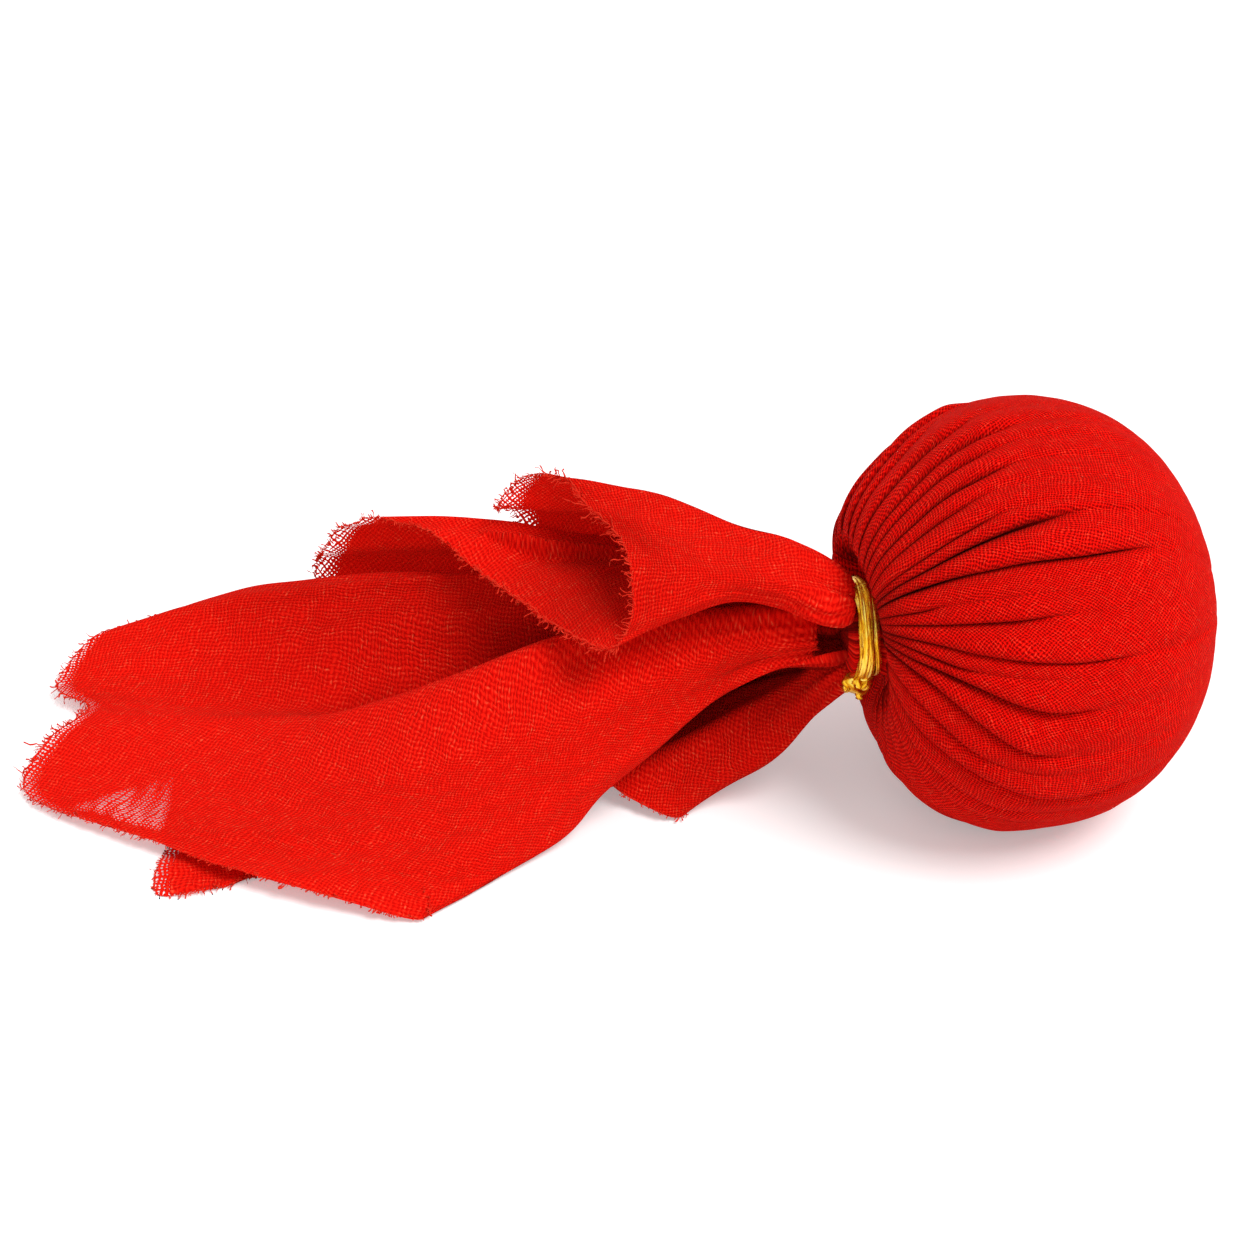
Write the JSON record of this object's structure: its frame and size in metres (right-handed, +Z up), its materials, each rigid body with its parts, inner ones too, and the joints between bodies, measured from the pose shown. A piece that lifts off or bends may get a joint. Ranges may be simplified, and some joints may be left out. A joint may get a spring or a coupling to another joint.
{
  "type": "tied cloth bundle pouch",
  "caption": "Square of coarse red cotton gauze gathered round a rounded filling, tied at the neck with a gold ribbon, the loose corners fanned out behind in folds.",
  "frame": {"origin": "centre of the flat spot under the ball, on the surface that the bundle lies on", "axes": "+Z up; X along the neck, with the ball over the origin and the tail towards -X; +Y away from the front"},
  "size_m": [0.262, 0.1421, 0.093],
  "materials": {
    "cloth_bundle": "coarse plain-weave cotton gauze, matt",
    "neck_tie": "twisted metallic gold ribbon"
  },
  "bodies": {
    "root": {"cloth_bundle": "cloth_bundle", "neck_tie": "neck_tie"}
  },
  "joints": []
}
